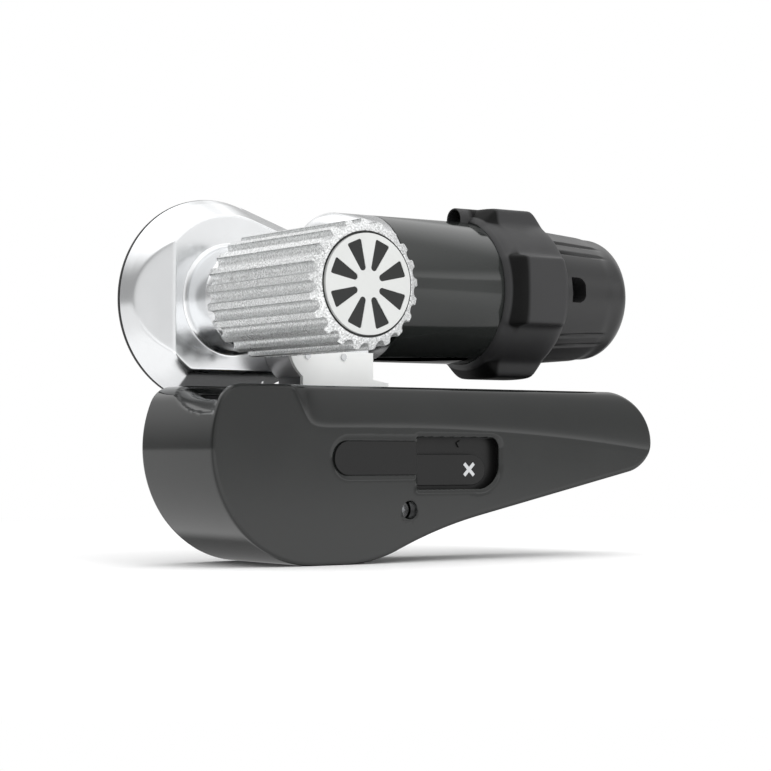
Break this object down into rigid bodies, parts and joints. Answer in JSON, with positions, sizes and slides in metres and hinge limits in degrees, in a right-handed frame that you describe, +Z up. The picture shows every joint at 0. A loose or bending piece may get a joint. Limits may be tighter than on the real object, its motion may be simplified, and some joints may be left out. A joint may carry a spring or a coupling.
{
  "type": "caravan motor mover",
  "caption": "Caravan motor mover: a ribbed roller, driven by a worm-geared motor, on a carriage that slides along a teardrop-shaped housing bolted to the chassis.",
  "frame": {"origin": "centre of the four chassis bolts, on the rear face of the frame plate", "axes": "+X along the housing towards the motor's far end, +Y backwards out of the mounting face, +Z up"},
  "size_m": [0.3346, 0.1935, 0.2161],
  "materials": {
    "housing_plastic": "satin moulded charcoal",
    "dark_plastic": "dark moulded",
    "plate_steel": "black coated steel",
    "bright_steel": "turned",
    "screw_steel": "zinc plated",
    "cast_silver": "smooth die cast",
    "roller_aluminium": "coarse sand cast",
    "cap_light": "light grey satin",
    "upright_light": "light grey coated sheet",
    "leg_steel": "dark polished sheet",
    "motor_coat": "gloss charcoal paint",
    "collar_rubber": "matte moulded rubber",
    "gasket_rubber": "dark",
    "bronze": "turned bronze",
    "copper": "enamelled copper",
    "magnet": "sintered",
    "carbon": "pressed carbon",
    "brush_board": "laminated board"
  },
  "bodies": {
    "base": {"housing_cover": "housing_plastic", "frame_plate": "plate_steel", "badge_plate": "dark_plastic", "window_tray": "dark_plastic", "cover_screw": "screw_steel", "cover_pillar": "bright_steel", "plate_screws": "screw_steel", "guide_rods": "bright_steel", "left_support": "plate_steel", "right_support": "plate_steel", "screw_bearings": "bronze", "actuator_gearbox": "cast_silver", "actuator_motor": "motor_coat"},
    "screw": {"lead_screw": "bright_steel"},
    "drive_unit": {"carriage_block": "cast_silver", "guide_bushes": "bronze", "lead_nut": "bronze", "upright_plate": "upright_light", "upright_rivets": "screw_steel", "curved_leg": "leg_steel", "motor_saddle": "cast_silver", "indicator_slider": "dark_plastic", "indicator_cross": "screw_steel", "gear_casing": "cast_silver", "casing_gasket": "gasket_rubber", "casing_cover": "cast_silver", "casing_screws": "screw_steel", "roller_bearings": "bright_steel", "shaft_seal": "gasket_rubber", "worm_bearings": "bright_steel", "motor_plate": "cast_silver", "motor_tube": "motor_coat", "motor_magnets": "magnet", "motor_bearings": "bright_steel", "brush_plate": "brush_board", "brushes": "carbon", "motor_collar": "collar_rubber", "end_cap": "dark_plastic"},
    "roller": {"drive_roller": "roller_aluminium", "roller_cap": "cap_light", "cap_backing": "housing_plastic", "roller_shaft": "bright_steel", "roller_bolt": "screw_steel", "shaft_keys": "bright_steel", "shaft_circlip": "plate_steel", "worm_wheel": "bronze"},
    "worm_drive": {"worm_shaft": "bright_steel", "worm": "bright_steel", "worm_gear": "bright_steel"},
    "armature": {"motor_shaft": "bright_steel", "motor_pinion": "bright_steel", "armature_core": "magnet", "armature_windings": "copper", "commutator": "copper"}
  },
  "joints": [
    {"name": "engage_slide", "type": "slide", "parent": "base", "child": "drive_unit", "axis": [-1, 0, 0], "range_m": [0, 0.028]},
    {"name": "roller_spin", "type": "hinge", "parent": "drive_unit", "child": "roller", "pos_m": [-0.075, -0.1, 0.092], "axis": [0, 1, 0], "continuous": true},
    {"name": "worm_spin", "type": "hinge", "parent": "drive_unit", "child": "worm_drive", "pos_m": [-0.075, 0.005, 0.11999], "axis": [1, 0, 0], "continuous": true},
    {"name": "motor_spin", "type": "hinge", "parent": "drive_unit", "child": "armature", "pos_m": [0.065, -0.01, 0.1026], "axis": [1, 0, 0], "continuous": true},
    {"name": "lead_screw_spin", "type": "hinge", "parent": "base", "child": "screw", "pos_m": [-0.04, -0.045, 0.016], "axis": [1, 0, 0], "range_deg": [-10, 2530]}
  ],
  "couplings": [
    {"joint": "worm_spin", "follows": "roller_spin", "ratio": -30},
    {"joint": "motor_spin", "follows": "roller_spin", "ratio": 62},
    {"joint": "lead_screw_spin", "follows": "engage_slide", "rad_per_m": 1570.8}
  ]
}
